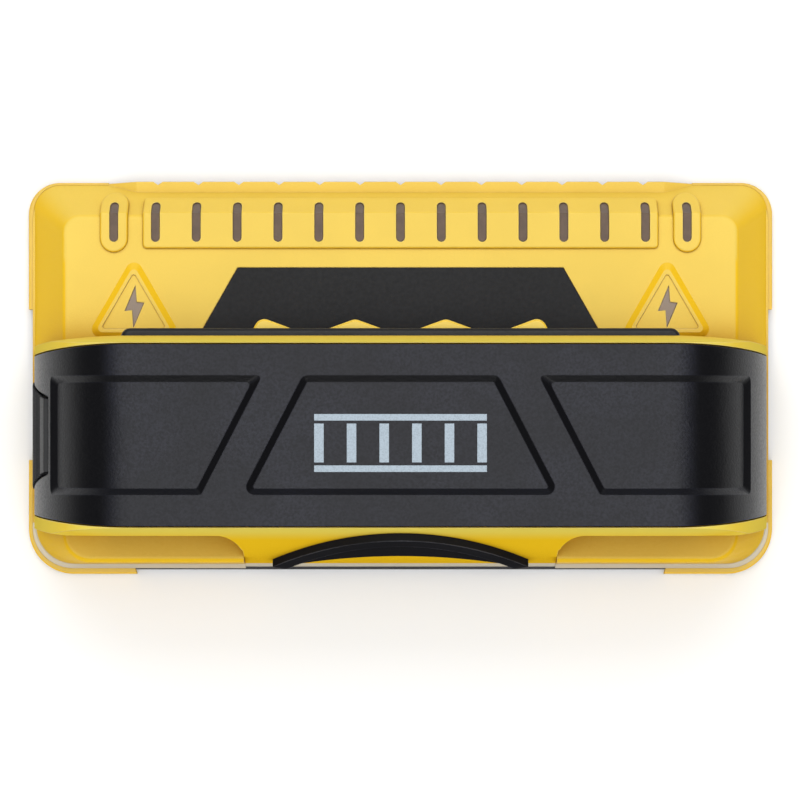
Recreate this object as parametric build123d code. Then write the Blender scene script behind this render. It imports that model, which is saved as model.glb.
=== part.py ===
from build123d import *
import os
from math import atan2, cos, degrees, sin, sqrt

# A wall-scanning stud finder lying on its back, in millimetres.
# X runs along the handle, Y towards the row of indicator slots, and Z out of the
# front. The origin is on the resting surface, under the middle of the outline.

# ---- driving dimensions ----------------------------------------------------------

# Levels above the resting surface
PAD_TOP = 0.8
RIM_Z = 2.8
FACE_Z = 16.0
GAP_TOP_Z = 31.0
FLARE_Z = 38.0
FRONT_Z = 52.0

# Base housing
RIM_HALF = 89.4
RIM_LOW_Y = -45.3
FLANGE_LOW_Y = -46.3
FLANGE_THICK = 0.8
RIM_HIGH_Y = 47.0
FACE_HALF = 80.8
FACE_LOW_Y = -44.6
FACE_HIGH_Y = 38.6
LOW_CORNER = 9.8
HIGH_CORNER = 6.6
SHELL_WALL = 2.2
SIDE_WALL = 2.7
FACE_ROUND = 1.6
PLATE_HALF = 88.9
PLATE_LOW_Y = -46.6
PLATE_HIGH_Y = 46.4
BUMPER_PROUD = 1.0
BUMPER_INNER_X = 71.0
RIDGE_HALF = BUMPER_INNER_X
RIDGE_RUN_OUT = 7.0
RIDGE_ROOT = 4.0  # how far the ledge reaches back into the rim, and the height it is cut from
RIDGE_PROUD = 0.5  # how far it stands out of the rim, and at its very ends
RIDGE_PROUD_END = 0.15
RIDGE_RISE = 3.2  # how high it stands above the rim, and at its very ends
RIDGE_RISE_END = 0.4

# Indicator slots
SLOT_COUNT = 13
SLOT_PITCH = 9.8
SLOT_Y = 37.25
SLOT_LENGTH = 9.7
SLOT_WIDTH = 2.1
END_SLOT_X = 68.8
BAND_RAISE = 0.8
BAND_ROUND = 0.6

# Live-wire windows
WARNING_X = 64.0
WARNING_Y = 18.2
FLASH_SHARE = 0.96

# Handle
HANDLE_HALF = 88.0
FLAT_HALF = 62.5
BEND_Z = 12.0
COVER_LOW_Y = -35.2
COVER_HIGH_Y = 7.0
RIM_WALL = 0.4
LOW_FLARE = 0.21
HIGH_FLARE = 0.14
BAR_LOW_Y = -37.6
LEG_INNER = 72.0
COVER_THICK = 2.4
COVER_GAP = 0.3
RECESS_DEPTH = 1.2
RECESS_SLOPE = 1.6
RECESS_CORNER = 1.6
PILLAR_HALF = 37.6
PILLAR_CORNER = 5.5
PILLAR_BACK_Y = -28.0

# Cover hinge, latch and thumb button
HINGE_X = 86.3
HINGE_Z = 11.6
KNUCKLE_R = 1.7
PIN_R = 0.75
LATCH_TRAVEL = 1.5

# Batteries
CELL_R = 7.1
CELL_LENGTH = 49.2
CELL_Y = (-6.6, -21.6)
CELL_Z = 41.0
CELL_SHIFT = 1.8

HANDLE_MID_Y = (COVER_LOW_Y + COVER_HIGH_Y) / 2
BEND_R = HANDLE_HALF - FLAT_HALF
BEND_HEIGHT = FRONT_Z - BEND_Z


# ---- shared helpers --------------------------------------------------------------

def box(x0, x1, y0, y1, z0, z1):
    """A box between two corners."""
    middle = Pos((x0 + x1) / 2, (y0 + y1) / 2, (z0 + z1) / 2)
    return middle * Box(x1 - x0, y1 - y0, z1 - z0)


def rod(x, y, z0, z1, radius):
    """An upright round bar."""
    return Pos(x, y, (z0 + z1) / 2) * Cylinder(radius, z1 - z0)


def prism(outline, z0, z1):
    """A flat outline raised from one level to another."""
    return extrude(Pos(0, 0, z0) * outline, amount=z1 - z0)


def polygon(*points):
    """A flat face through the given corners."""
    return make_face(Polyline(*points, close=True))


def round_corners(face, radius):
    """Round every corner of a flat face."""
    return fillet(face.vertices(), radius)


def mirrored(part):
    """The part and its mirror image across the middle of the handle."""
    return part, mirror(part, Plane.YZ)


def plate_outline(half, low_y, high_y, low_corner, high_corner):
    """A rectangle whose lower and upper corners have their own radii."""
    face = Pos(0, (low_y + high_y) / 2) * Rectangle(2 * half, high_y - low_y)
    face = fillet(face.vertices().group_by(Axis.Y)[0], low_corner)
    return fillet(face.vertices().group_by(Axis.Y)[-1], high_corner)


def save(part, name):
    """Write one node."""
    export_step(part, "parts/" + name + ".step")


def slot_centres():
    """X of each of the middle indicator slots."""
    first = -SLOT_PITCH * (SLOT_COUNT - 1) / 2
    return [first + SLOT_PITCH * i for i in range(SLOT_COUNT)]


# ---- base ------------------------------------------------------------------------

def base_outer(grow=0.0):
    """The sloped outer form of the base, optionally grown on all sides."""
    low = plate_outline(RIM_HALF + grow, RIM_LOW_Y - grow, RIM_HIGH_Y + grow,
                        LOW_CORNER, HIGH_CORNER)
    high = plate_outline(FACE_HALF + grow, FACE_LOW_Y - grow, FACE_HIGH_Y + grow,
                         LOW_CORNER - 3.0, HIGH_CORNER - 2.7)
    return loft([Pos(0, 0, RIM_Z) * low, Pos(0, 0, FACE_Z + grow) * high])


def base_cavity():
    """The hollow inside the base."""
    low = plate_outline(RIM_HALF - SIDE_WALL, RIM_LOW_Y + SIDE_WALL, RIM_HIGH_Y - SIDE_WALL,
                        LOW_CORNER - 2.0, HIGH_CORNER - 2.0)
    high = plate_outline(FACE_HALF - 1.3, FACE_LOW_Y + 2.2, FACE_HIGH_Y - 1.3,
                         LOW_CORNER - 4.0, HIGH_CORNER - 3.6)
    return loft([Pos(0, 0, RIM_Z) * low, Pos(0, 0, FACE_Z - SHELL_WALL) * high])


def base_flange():
    """The narrow ledge round the foot of the base, which shows along its lower side."""
    outline = plate_outline(RIM_HALF, FLANGE_LOW_Y, RIM_HIGH_Y - 2.0, LOW_CORNER, HIGH_CORNER)
    return prism(outline, RIM_Z, RIM_Z + FLANGE_THICK)


def raised_part(outline):
    """A part of the base's surface that stands proud, with rounded edges."""
    part = base_outer(BAND_RAISE) & prism(outline, RIM_Z + 1, FACE_Z + 2)
    rim = [e for e in part.edges() if e.center().Z > RIM_Z + 1.5 and abs((e % 0.5).Z) < 0.95]
    rim = [e for e in rim if e.center().Y < RIM_HIGH_Y - 3.0]
    return fillet(rim, BAND_ROUND)


def upper_ridge():
    """The ledge along the upper side that the pencil notches cut, dying out at both ends."""
    end, full = RIDGE_HALF, RIDGE_HALF - RIDGE_RUN_OUT
    root, edge = RIM_HIGH_Y - RIDGE_ROOT, RIM_HIGH_Y + RIDGE_PROUD
    edge_end = RIM_HIGH_Y + RIDGE_PROUD_END
    top, top_end = RIM_Z + RIDGE_RISE, RIM_Z + RIDGE_RISE_END
    plan = polygon((-end, root), (end, root), (end, edge_end), (full, edge), (-full, edge), (-end, edge_end))
    front = polygon((-end, RIM_Z), (end, RIM_Z), (end, top_end), (full, top), (-full, top), (-end, top_end))
    return prism(plan, RIM_Z, RIM_Z + RIDGE_ROOT) & extrude(Plane.XZ * front, amount=60, both=True)


def slot_face(x, grow=0.0):
    """One indicator slot, seen from the front."""
    length = SLOT_LENGTH + 2 * grow
    return Pos(x, SLOT_Y) * Rot(0, 0, 90) * SlotOverall(length, SLOT_WIDTH + 2 * grow)


def slot_positions():
    """X of every indicator slot, the two end ones included."""
    return slot_centres() + [-END_SLOT_X, END_SLOT_X]


def bolt_face(x, share=1.0):
    """A plain zigzag flash for the live-wire window, at a share of its full size."""
    corners = [(0.4, 4.8), (0.7, 0.75), (2.5, 0.6), (-0.1, -5.5), (-0.4, -1.2), (-2.2, -1.4)]
    return Pos(x, WARNING_Y - 1.0) * polygon(*[(share * u, share * v) for u, v in corners])


def triangle_face(x, half_base, low_y, high_y, corner):
    """A triangle standing on its base, with rounded corners."""
    face = polygon((x - half_base, low_y), (x + half_base, low_y), (x, high_y))
    return round_corners(face, corner)


def warning_triangle(x):
    """The raised triangular frame round a live-wire window, and its sunk middle."""
    foot = triangle_face(x, 11.9, 9.3, 29.9, 2.2)
    crest = triangle_face(x, 9.25, 10.7, 26.7, 1.0)
    plateau = loft([Pos(0, 0, FACE_Z - 0.1) * foot, Pos(0, 0, FACE_Z + 0.85) * crest])
    sunk = triangle_face(x, 7.9, 11.5, 25.1, 0.6)
    return plateau, prism(sunk, FACE_Z + 0.6, FACE_Z + 2)


BASE_SCREWS = [(78.0, 8.5), (-78.0, 8.5), (78.0, -35.5), (-78.0, -35.5), (52.0, -38.5), (-52.0, -38.5)]
BOARD_SCREWS = [(72.0, 14.8), (-72.0, 14.8), (30.0, 14.8), (-30.0, 14.8)]
HANDLE_SCREWS = [(76.0, 0.5), (-76.0, 0.5), (76.0, -28.5), (-76.0, -28.5)]
LEAD_HOLE = (77.0, -14.0)


def low_face_y(z):
    """Y of the sloped lower face of the handle at a height."""
    return COVER_LOW_Y - RIM_WALL - LOW_FLARE * (FRONT_Z - z)


def high_face_y(z):
    """Y of the sloped upper face of the handle at a height."""
    return COVER_HIGH_Y + RIM_WALL + HIGH_FLARE * (FRONT_Z - z)


def label_face(grow=0.0):
    """The trapezoid label, which runs on under the handle."""
    face = polygon((-39.1, 26.2), (39.1, 26.2), (50.6, 6.0), (50.6, -24.0), (-50.6, -24.0), (-50.6, 6.0))
    return offset(face, grow, kind=Kind.INTERSECTION) if grow else face


def make_front_shell():
    """The moulded front half of the base."""
    body = base_outer()
    body = fillet(body.faces().sort_by(Axis.Z)[-1].edges(), FACE_ROUND)
    body += base_flange()
    half = SLOT_PITCH * SLOT_COUNT / 2 - 1.8
    body += raised_part(Pos(0, 37.05) * RectangleRounded(2 * half, 12.5, 1.0))
    for x in (-END_SLOT_X, END_SLOT_X):
        body += raised_part(Pos(x, 37.3) * Rot(0, 0, 90) * SlotOverall(14.8, 6.7))
    body += upper_ridge()
    for x in (-WARNING_X, WARNING_X):
        plateau, sunk = warning_triangle(x)
        body += plateau
        body -= sunk
    body -= base_cavity()
    for x, y in BASE_SCREWS:
        body += rod(x, y, RIM_Z, FACE_Z - 1, 3.0)
        body -= rod(x, y, RIM_Z - 1, 11.5, 1.25)
    for x, y in BOARD_SCREWS:
        body += rod(x, y, 6.7, FACE_Z - 1, 2.3)
        body -= rod(x, y, 6, 11.5, 1.05)
    for x in slot_positions():
        body -= prism(slot_face(x), RIM_Z + 1, FACE_Z + 2)
    for x in slot_centres():
        notch = polygon((x - 1.3, RIM_HIGH_Y + 0.6), (x + 1.3, RIM_HIGH_Y + 0.6), (x, RIM_HIGH_Y - 0.3))
        body -= prism(notch, RIM_Z - 1, RIM_Z + 5)
    for x in (-WARNING_X, WARNING_X):
        body -= prism(bolt_face(x), FACE_Z - 4, FACE_Z + 2)
    body -= prism(label_face(0.1), FACE_Z - 0.25, FACE_Z + 1)
    body -= box(-PILLAR_HALF, PILLAR_HALF, RIM_LOW_Y - 1, PILLAR_BACK_Y, RIM_Z - 1, FACE_Z + 1)
    for x, y in HANDLE_SCREWS:
        body -= rod(x, y, FACE_Z - 4, FACE_Z + 1, 1.3)
    body -= rod(LEAD_HOLE[0], LEAD_HOLE[1], FACE_Z - 4, FACE_Z + 1, 2.6)
    return body


def make_back_plate():
    """The black plate that closes the base."""
    outline = plate_outline(PLATE_HALF, PLATE_LOW_Y, PLATE_HIGH_Y, LOW_CORNER, HIGH_CORNER)
    plate = prism(outline, PAD_TOP, RIM_Z)
    plate = chamfer(plate.faces().sort_by(Axis.Z)[0].edges(), 0.4)
    for x, y in BASE_SCREWS:
        plate -= rod(x, y, 0, RIM_Z + 1, 1.4)
        plate -= rod(x, y, 0, 2.1, 2.9)
    return plate


def make_bumpers():
    """The four corner bumpers, by name."""
    outline = plate_outline(RIM_HALF + BUMPER_PROUD, FLANGE_LOW_Y - 1.4, RIM_HIGH_Y + 0.4,
                            LOW_CORNER + 1.2, HIGH_CORNER + 1.0)
    ring = prism(outline, PAD_TOP, RIM_Z + 0.4)
    ring = fillet(ring.faces().sort_by(Axis.Z)[-1].edges(), 0.5)
    ring -= prism(plate_outline(PLATE_HALF, PLATE_LOW_Y, PLATE_HIGH_Y, LOW_CORNER, HIGH_CORNER), 0, RIM_Z)
    ring -= base_outer() + base_flange()
    top = ring & box(BUMPER_INNER_X, 95, 16.6, 60, 0, 10)
    end_cut = polygon((60.2, -60), (95, -60), (95, -20), (64.6, -20), (64.6, -46.0))
    bottom = ring & prism(end_cut, 0, 10)
    top_right, top_left = mirrored(top)
    bottom_right, bottom_left = mirrored(bottom)
    return {"bumper_top_right": top_right, "bumper_top_left": top_left,
            "bumper_bottom_right": bottom_right, "bumper_bottom_left": bottom_left}


def make_glide_pads():
    """Four low pads that slide on the wall."""
    pads = []
    for x in (-72.0, 72.0):
        for y in (-24.0, 30.0):
            outline = Pos(x, y) * SlotOverall(20.0, 8.0)
            pads.append(prism(outline, 0, PAD_TOP))
    return Compound(pads)


def make_front_label():
    """The blank black label on the face of the base."""
    return prism(round_corners(label_face(), 0.4), FACE_Z - 0.25, FACE_Z + 0.1)


# ---- lenses, lamps and board -----------------------------------------------------

LENS_FOOT_Z = 7.6
LENS_RAISE = BAND_RAISE - 0.15


def lens_bar(x):
    """One smoked bar that fills an indicator slot up to just under its surface."""
    return base_outer(LENS_RAISE) & prism(slot_face(x, -0.08), LENS_FOOT_Z, FACE_Z + 2)


def make_lens_strip():
    """The middle bars on their common carrier."""
    half = SLOT_PITCH * (SLOT_COUNT - 1) / 2 + 3.5
    strip = box(-half, half, 33.0, 39.4, LENS_FOOT_Z, 8.8)
    for x in slot_centres():
        strip += lens_bar(x)
    return strip


def make_end_lens(x):
    """An end slot's bar on its own small carrier."""
    return lens_bar(x) + box(x - 2.6, x + 2.6, 33.0, 39.4, LENS_FOOT_Z, 8.8)


def make_flash_lens(x):
    """A live-wire window with the flange that is glued behind it."""
    lens = prism(bolt_face(x, FLASH_SHARE), FACE_Z - SHELL_WALL - 1, FACE_Z + 0.25)
    flange = box(x - 4.2, x + 4.2, 10.6, 25.4, FACE_Z - SHELL_WALL - 1.4, FACE_Z - SHELL_WALL)
    return lens + flange


def make_led_baffle():
    """The black baffle that keeps each lamp's light in its own bar."""
    half = END_SLOT_X + 3.6
    baffle = box(-half, half, 31.6, 36.8, 9.0, FACE_Z - SHELL_WALL - 0.1)
    for x in slot_positions():
        baffle -= prism(slot_face(x, 0.25), 8, FACE_Z)
    return baffle


BOARD_Z = 5.0
BOARD_TOP = 6.6


def make_main_board():
    """The circuit board in the base."""
    board = prism(Pos(0, 26.2) * RectangleRounded(152, 28.4, 1.5), BOARD_Z, BOARD_TOP)
    for x, y in BOARD_SCREWS:
        board -= rod(x, y, 4, 8, 1.2)
    return board


def make_sensor_plates():
    """One copper plate behind each middle slot."""
    return Compound([box(x - 3.9, x + 3.9, 18.4, 39.4, BOARD_Z - 0.3, BOARD_Z) for x in slot_centres()])


def make_indicator_leds():
    """A surface lamp under each bar."""
    return Compound([box(x - 0.8, x + 0.8, 34.6, 37.8, BOARD_TOP, 7.4) for x in slot_positions()])


def make_warning_leds():
    """A surface lamp under each live-wire window."""
    return Compound([box(x - 1.75, x + 1.75, 16.4, 19.2, BOARD_TOP, 8.4) for x in (-WARNING_X, WARNING_X)])


def make_controller_chip():
    """The controller, with its legs as one thin skirt."""
    skirt = box(-4.4, 4.4, 18.1, 26.9, BOARD_TOP, 6.8)
    body = box(-3.5, 3.5, 19.0, 26.0, 6.8, 7.8)
    return skirt + chamfer(body.edges().filter_by(Axis.Z), 0.4)


def make_board_parts():
    """Small chips, a capacitor and a regulator on the board."""
    chips = [box(x - 2.5, x + 2.5, 20.6, 24.6, BOARD_TOP, 8.1) for x in (-48.0, -20.0, 20.0, 48.0)]
    capacitors = [rod(x, 18.0, BOARD_TOP, 12.0, 2.5) for x in (-39.0, 39.0)]
    regulator = box(56.0, 60.6, 13.4, 17.0, BOARD_TOP, 8.3)
    return Compound(chips + capacitors + [regulator])


def screw(x, y, head_z, head_r, seat_z, tip_z, shank_r):
    """A screw with a flat head and a cross recess, standing up from its head."""
    head = rod(x, y, head_z, seat_z, head_r)
    depth = (seat_z - head_z) / 2
    head -= box(x - head_r * 0.6, x + head_r * 0.6, y - 0.35, y + 0.35, head_z, head_z + depth)
    head -= box(x - 0.35, x + 0.35, y - head_r * 0.6, y + head_r * 0.6, head_z, head_z + depth)
    shank = rod(x, y, seat_z, tip_z, shank_r)
    return head + chamfer(shank.faces().sort_by(Axis.Z)[-1].edges(), shank_r * 0.5)


def make_screws(places, head_z, head_r, seat_z, tip_z, shank_r):
    """A group of identical screws."""
    return Compound([screw(x, y, head_z, head_r, seat_z, tip_z, shank_r) for x, y in places])


# ---- handle ----------------------------------------------------------------------

END_R = 140.0
PLAN_HALF = HANDLE_HALF + 5.0


def end_drop(x):
    """How far the handle's long edges draw in at a distance along it."""
    return END_R - sqrt(END_R ** 2 - (x - FLAT_HALF) ** 2)


def plan_face(low_y, high_y):
    """The handle seen from the front: straight in the middle, drawn in at the ends."""
    middle = (FLAT_HALF + PLAN_HALF) / 2
    edges = []
    for side in (1, -1):
        flat = side * FLAT_HALF
        half = side * middle
        tip = side * PLAN_HALF
        edges.append(ThreePointArc((flat, high_y), (half, high_y - end_drop(middle)),
                                   (tip, high_y - end_drop(PLAN_HALF))))
        edges.append(Line((tip, high_y - end_drop(PLAN_HALF)), (tip, low_y + end_drop(PLAN_HALF))))
        edges.append(ThreePointArc((tip, low_y + end_drop(PLAN_HALF)), (half, low_y + end_drop(middle)),
                                   (flat, low_y)))
    edges.append(Line((-FLAT_HALF, high_y), (FLAT_HALF, high_y)))
    edges.append(Line((-FLAT_HALF, low_y), (FLAT_HALF, low_y)))
    return make_face(edges)


def bend_solid(inset, low_z):
    """The handle's long curved section, run through its whole width."""
    half = HANDLE_HALF - inset
    top = FRONT_Z - inset
    right = EllipticalCenterArc((FLAT_HALF, BEND_Z), BEND_R - inset, BEND_HEIGHT - inset,
                                start_angle=0, arc_size=90)
    left = EllipticalCenterArc((-FLAT_HALF, BEND_Z), BEND_R - inset, BEND_HEIGHT - inset,
                               start_angle=90, arc_size=90)
    outline = make_face([right, Line((FLAT_HALF, top), (-FLAT_HALF, top)), left,
                         Line((-half, BEND_Z), (-half, low_z)), Line((-half, low_z), (half, low_z)),
                         Line((half, low_z), (half, BEND_Z))])
    return extrude(Plane.XZ * outline, amount=60, both=True)


def pillar_block(half):
    """The wedge under the handle whose sloped face carries the thumb button."""
    top = FRONT_Z - 0.2
    side = polygon((low_face_y(RIM_Z), RIM_Z), (low_face_y(top), top), (PILLAR_BACK_Y, top),
                   (PILLAR_BACK_Y, RIM_Z))
    return extrude(Plane.YZ * side, amount=half, both=True)


def pocket_block():
    """What is cut away in front of the bar beside the pillar, with its corner rounded."""
    outline = polygon((PILLAR_HALF, -60), (100, -60), (100, BAR_LOW_Y), (PILLAR_HALF, BAR_LOW_Y))
    inner = [v for v in outline.vertices() if v.X < PILLAR_HALF + 1 and v.Y > BAR_LOW_Y - 1]
    return prism(fillet(inner, PILLAR_CORNER), RIM_Z - 1, FRONT_Z + 2)


def arch_solid(x0, x1, y0, y1, corner):
    """An opening through the handle's width with rounded upper corners."""
    opening = box(x0, x1, y0, y1, RIM_Z - 1, GAP_TOP_Z)
    upper = opening.edges().filter_by(Axis.Y).group_by(Axis.Z)[-1]
    return fillet(upper, corner)


def cover_band(edge_gap, depth, low_z):
    """The bent band that the battery cover fills, with a margin all round."""
    plan = prism(plan_face(COVER_LOW_Y - edge_gap, COVER_HIGH_Y + edge_gap), low_z, FRONT_Z + 2)
    return plan & (bend_solid(-1.0, 0) - bend_solid(depth, -1))


def pin_rod(radius, low_y, high_y):
    """A bar along the cover's hinge line."""
    middle = Pos(HINGE_X, (low_y + high_y) / 2, HINGE_Z)
    return middle * Rot(90, 0, 0) * Cylinder(radius, high_y - low_y)


BARREL_LOW_Y = -31.5
BARREL_HIGH_Y = 3.3
COVER_END_Z = 10.0


def make_handle_shell():
    """The yellow handle: bar, two end legs and the pillar, hollow for the batteries."""
    low_plan = plan_face(low_face_y(FLARE_Z), high_face_y(FLARE_Z))
    top = FRONT_Z + 1
    high_plan = plan_face(low_face_y(top), high_face_y(top))
    bar = loft([Pos(0, 0, FLARE_Z) * low_plan, Pos(0, 0, top) * high_plan])
    bar += prism(low_plan, RIM_Z, FLARE_Z)
    bar &= bend_solid(0, RIM_Z)
    bar -= base_outer()
    bar += pillar_block(PILLAR_HALF + PILLAR_CORNER + 2)
    for block in mirrored(pocket_block()):
        bar -= block
    bar -= arch_solid(-LEG_INNER, LEG_INNER, PILLAR_BACK_Y, 40, 8.0)
    for x0, x1 in ((PILLAR_HALF, LEG_INNER), (-LEG_INNER, -PILLAR_HALF)):
        bar -= arch_solid(x0, x1, -60, PILLAR_BACK_Y + 0.01, 8.0)
    bay_plan = plan_face(COVER_LOW_Y + 2.6, COVER_HIGH_Y - 2.6)
    bay = prism(bay_plan, BEND_Z + 1, FRONT_Z + 2) & bend_solid(COVER_THICK, 0)
    leg_walls = arch_solid(-LEG_INNER - 2.2, LEG_INNER + 2.2, -60, 60, 8.0)
    bar -= bay - Pos(0, 0, 2.2) * leg_walls
    bar -= cover_band(COVER_GAP, COVER_THICK + 0.1, COVER_END_Z - COVER_GAP)
    for x, y in HANDLE_SCREWS:
        post = rod(x, y, FACE_Z, 27.0, 2.8) - rod(x, y, FACE_Z - 1, 25.5, 1.25)
        bar += post
    bar -= pin_rod(KNUCKLE_R + 0.3, BARREL_LOW_Y - 0.3, BARREL_HIGH_Y + 0.3)
    bar -= pin_rod(PIN_R, BARREL_LOW_Y - 2.2, BARREL_HIGH_Y + 2.2)
    bar -= rod(LEAD_HOLE[0], LEAD_HOLE[1], FACE_Z - 1, FACE_Z + 5, 2.6)
    bar -= finger_rest_plate()
    bar -= grip_bar()
    bar -= extrude(FACE_PLANE * bezel_outline(0.05), amount=-3.0)
    bar -= extrude(FACE_PLANE * button_outline(0.3), amount=-3.4)
    bar -= face_box(-12, 12, SWITCH_V - 9.3, SWITCH_V + 5.1, -10.6, -1)
    bar -= box(-2.6, 2.6, -36.0, -31.5, 8.0, 19.0)
    bar -= box(-2.6, 2.6, -35.0, PILLAR_BACK_Y + 1, 7.6, 11.4)
    return bar


def finger_rest_plate():
    """The rear wall of the bar, whose upper edge carries four finger ridges."""
    corners = [(-36.4, 8.2), (-33.2, 13.9), (-21.4, 9.5), (-10.7, 13.4), (0.0, 9.5),
               (10.7, 13.4), (21.4, 9.5), (33.2, 13.9), (36.4, 8.2)]
    ridges = polygon(*corners, (36.4, 5.0), (-36.4, 5.0))
    peaks = [v for v in ridges.vertices() if v.Y > 13]
    ridges = fillet(peaks, 2.4)
    valleys = [v for v in ridges.vertices() if 9.4 < v.Y < 9.6]
    ridges = fillet(valleys, 5.0)
    plate = prism(Pos(0, -11.6) * RectangleRounded(126, 39.6, 3.0), GAP_TOP_Z, GAP_TOP_Z + 2.2)
    crest = prism(ridges, GAP_TOP_Z, GAP_TOP_Z + 2.6)
    crest = fillet(crest.faces().sort_by(Axis.Z)[-1].edges().filter_by_position(Axis.Y, 8.3, 20), 0.6)
    return plate + crest


def grip_bar():
    """The black rubber strip along the upper face of the bar."""
    strip = box(-65.7, 65.7, 7.6, 11.1, GAP_TOP_Z + 2.7, GAP_TOP_Z + 7.2)
    ends = strip.edges().filter_by(Axis.Z).group_by(Axis.Y)[-1]
    strip = fillet(ends, 2.2)
    outer = strip.faces().sort_by(Axis.Z)[-1].edges().filter_by_position(Axis.Y, 8.0, 20)
    return fillet(outer, 1.1)


# ---- battery cover ---------------------------------------------------------------

FRAME_LOW_Y = -28.0
FRAME_HIGH_Y = -0.2
FRAME_END_X = 82.3
END_SPLIT_X = 74.0
END_CORNER = 2.8
SIDE_FRAME_INNER = (31.9, 46.2)
CENTRE_FRAME_HALF = (22.6, 37.0)
RELIEF_DEPTH = 1.0
RELIEF_WIDTH = 0.6


def centre_recess():
    """The middle trapezoid recess, with sloped walls."""
    high, low = CENTRE_FRAME_HALF
    face = polygon((-low, FRAME_LOW_Y), (low, FRAME_LOW_Y), (high, FRAME_HIGH_Y), (-high, FRAME_HIGH_Y))
    face = round_corners(face, 2.0)
    slope = degrees(atan2(RECESS_SLOPE, RECESS_DEPTH))
    return extrude(Pos(0, 0, FRONT_Z) * face, amount=-RECESS_DEPTH, taper=slope)


def crescent(depth):
    """The section between a surface just over the cover and one inset by a depth."""
    return bend_solid(-1.2, 0) - bend_solid(depth, -1)


def skin_section(y, depth):
    """That section as a flat face across the right half of the handle."""
    slab = crescent(depth) & box(10, PLAN_HALF, y - 0.5, y, 2, FRONT_Z + 5)
    return slab.faces().sort_by(Axis.Y)[-1]


def side_recess():
    """The right-hand recess, which bends round the end of the cover."""
    middle = crescent(RECESS_DEPTH) & box(10, PLAN_HALF, FRAME_LOW_Y + RECESS_SLOPE,
                                          FRAME_HIGH_Y - RECESS_SLOPE, 2, FRONT_Z + 5)
    upper = loft([skin_section(FRAME_HIGH_Y - RECESS_SLOPE, RECESS_DEPTH), skin_section(FRAME_HIGH_Y, 0.0)])
    lower = loft([skin_section(FRAME_LOW_Y, 0.0), skin_section(FRAME_LOW_Y + RECESS_SLOPE, RECESS_DEPTH)])
    recess = middle + upper + lower
    high, low = SIDE_FRAME_INNER
    run = Vector(low - high, FRAME_LOW_Y - FRAME_HIGH_Y, 0).normalized()
    across = Vector(-run.Y, run.X, 0)
    inner = Plane(origin=(high, FRAME_HIGH_Y, FRONT_Z),
                  z_dir=across / RECESS_SLOPE + Vector(0, 0, 1) / RECESS_DEPTH)
    recess = recess.split(inner, keep=Keep.TOP)
    offset_x = FRAME_END_X - FLAT_HALF
    rise = BEND_HEIGHT * sqrt(1 - (offset_x / BEND_R) ** 2)
    out = Vector(offset_x / BEND_R ** 2, 0, rise / BEND_HEIGHT ** 2).normalized()
    along = Vector(-out.Z, 0, out.X)
    end = Plane(origin=(FRAME_END_X, 0, BEND_Z + rise), z_dir=along + out * (RECESS_SLOPE / RECESS_DEPTH))
    bend = box(END_SPLIT_X, PLAN_HALF, -60, 60, 0, FRONT_Z + 5)
    tip = (recess & bend).split(end, keep=Keep.TOP)
    slanted = [e for e in tip.edges() if 0.2 < abs((e % 0.5).Y) < 0.95]
    tip = fillet([e for e in slanted if e.center().X > END_SPLIT_X + 1], END_CORNER)
    flat = recess - bend
    slanted = [e for e in flat.edges() if abs((e % 0.5).Y) > 0.2 and abs((e % 0.5).Z) > 0.2]
    corners = [e for e in slanted if e.center().X < low + 3]
    return fillet(corners, RECESS_CORNER) + tip


def swing_relief():
    """What the cover's inner edges lose near the hinge, so that they swing clear of the rim."""
    layer = bend_solid(RELIEF_DEPTH, 0) - bend_solid(COVER_THICK + 0.5, -1)
    kept = prism(plan_face(COVER_LOW_Y + RELIEF_WIDTH, COVER_HIGH_Y - RELIEF_WIDTH), 0, FRONT_Z + 2)
    return (layer & box(FLAT_HALF + 1.0, PLAN_HALF, -60, 60, HINGE_Z - 1, FRONT_Z)) - kept


def make_battery_cover():
    """The black curved front cover, with its hinge barrel and the latch slot."""
    plan = prism(plan_face(COVER_LOW_Y, COVER_HIGH_Y), COVER_END_Z, FRONT_Z + 2)
    cover = plan & (bend_solid(0, 0) - bend_solid(COVER_THICK, -1))
    cover -= box(80, 95, -60, 60, 0, HINGE_Z)
    cover -= swing_relief()
    cover -= centre_recess()
    for recess in mirrored(side_recess()):
        cover -= recess
    cover -= crescent(LATCH_SINK) & latch_column(LATCH_GAP + RIB_OVERHANG, LATCH_TRAVEL + LATCH_GAP)
    cover += pin_rod(KNUCKLE_R, BARREL_LOW_Y, BARREL_HIGH_Y)
    cover -= pin_rod(PIN_R + 0.06, BARREL_LOW_Y - 4, BARREL_HIGH_Y + 4)
    stem = latch_stem()
    return cover - stem - Pos(0, 0, LATCH_TRAVEL + LATCH_GAP) * stem


# ---- cover latch -----------------------------------------------------------------

LATCH_SINK = 1.3
LATCH_GAP = 0.3
LATCH_LOW_Z = 13.2
LATCH_HIGH_Z = 34.3
LATCH_LOW_HALF = 12.6
LATCH_HIGH_HALF = 8.6
LATCH_BAR_Z = 31.4
RIB_COUNT = 9
RIB_R = 0.5
RIB_OVERHANG = 0.25


def end_surface_x(z, proud):
    """X of the cover's left end at a height, a little outside its surface."""
    rise = (z - BEND_Z) / (BEND_HEIGHT + proud)
    return -(FLAT_HALF + (BEND_R + proud) * sqrt(1 - rise ** 2))


def latch_half(z):
    """Half the latch's width at a height: it narrows towards the front."""
    share = (z - LATCH_LOW_Z) / (LATCH_HIGH_Z - LATCH_LOW_Z)
    return LATCH_LOW_HALF + (LATCH_HIGH_HALF - LATCH_LOW_HALF) * share


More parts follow.
